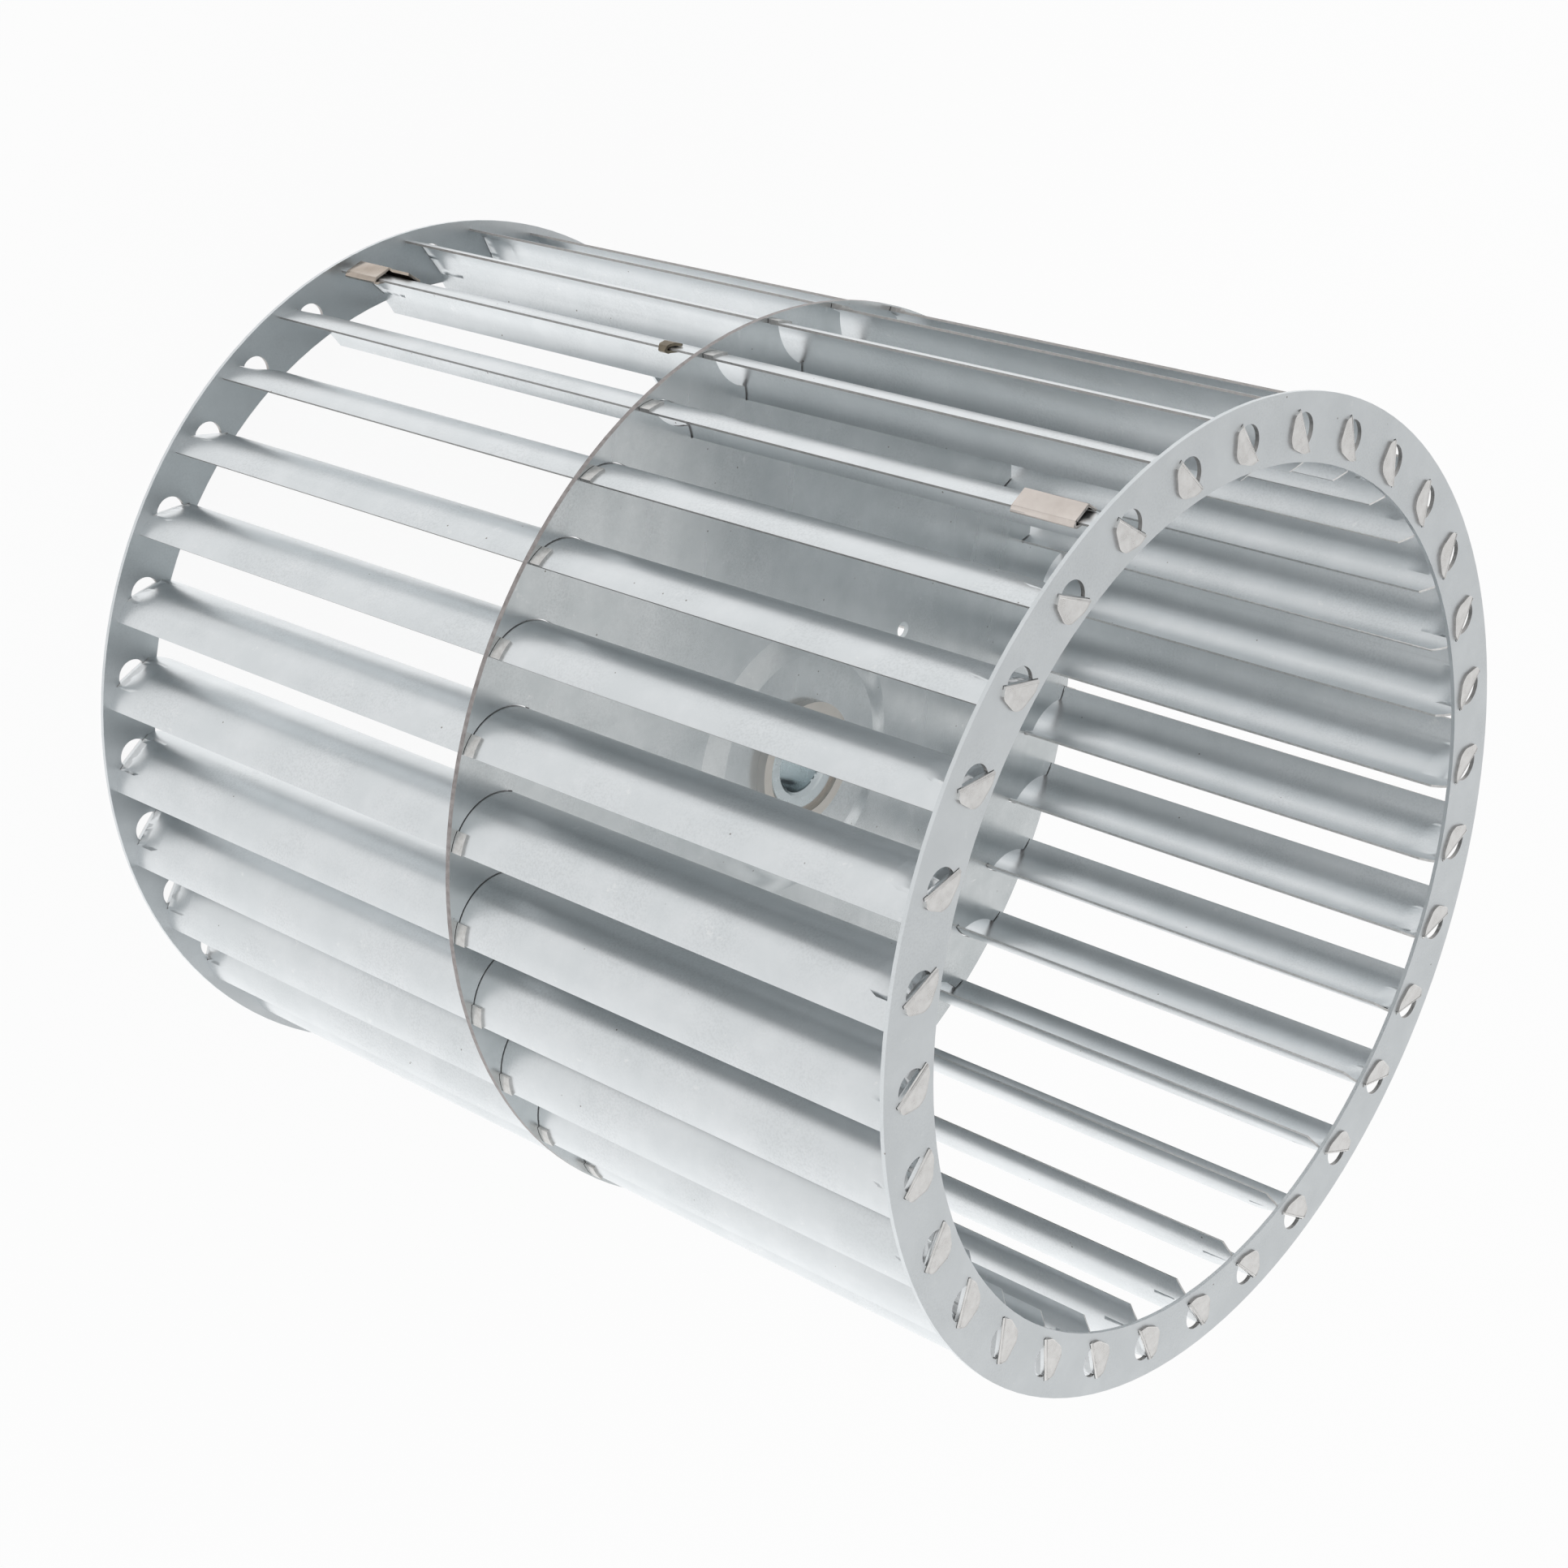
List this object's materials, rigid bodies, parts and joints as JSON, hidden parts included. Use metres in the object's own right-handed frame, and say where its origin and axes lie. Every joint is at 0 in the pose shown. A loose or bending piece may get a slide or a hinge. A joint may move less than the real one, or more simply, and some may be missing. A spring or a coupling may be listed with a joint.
{
  "type": "blower wheel",
  "caption": "Double-inlet forward-curved blower wheel: curved sheet blades through a centre disc, tabbed into two end rings, on a bored hub with a set screw.",
  "frame": {"origin": "centre of the hub's bore, at the mid-thickness of the centre disc's flat part", "axes": "+Z along the wheel's axis, out of the end that shows the hub's swaged neck and washer; +X along the radius of blade_01"},
  "size_m": [0.2413, 0.2412, 0.2682],
  "materials": {
    "ring_sheet": "bare galvanized sheet, satin",
    "blade_sheet": "bare galvanized sheet, satin",
    "disc_sheet": "bare galvanized sheet, duller, brownish cut edge",
    "zinc_steel": "turned steel, bluish zinc plate",
    "tan_plate": "tan passivated plate",
    "black_oxide": "black oxide steel",
    "tan_clip": "dull tan spring steel",
    "brown_clip": "dull brown spring steel"
  },
  "bodies": {
    "root": {"top_end_ring": "ring_sheet", "bottom_end_ring": "ring_sheet", "centre_disc": "disc_sheet", "hub": "zinc_steel", "hub_washer": "tan_plate", "set_screw": "black_oxide", "top_balance_clip": "tan_clip", "bottom_balance_clip": "brown_clip", "crimp_clip": "brown_clip", "blade_01": "blade_sheet", "blade_02": "blade_sheet", "blade_03": "blade_sheet", "blade_04": "blade_sheet", "blade_05": "blade_sheet", "blade_06": "blade_sheet", "blade_07": "blade_sheet", "blade_08": "blade_sheet", "blade_09": "blade_sheet", "blade_10": "blade_sheet", "blade_11": "blade_sheet", "blade_12": "blade_sheet", "blade_13": "blade_sheet", "blade_14": "blade_sheet", "blade_15": "blade_sheet", "blade_16": "blade_sheet", "blade_17": "blade_sheet", "blade_18": "blade_sheet", "blade_19": "blade_sheet", "blade_20": "blade_sheet", "blade_21": "blade_sheet", "blade_22": "blade_sheet", "blade_23": "blade_sheet", "blade_24": "blade_sheet", "blade_25": "blade_sheet", "blade_26": "blade_sheet", "blade_27": "blade_sheet", "blade_28": "blade_sheet", "blade_29": "blade_sheet", "blade_30": "blade_sheet", "blade_31": "blade_sheet", "blade_32": "blade_sheet"}
  },
  "joints": []
}
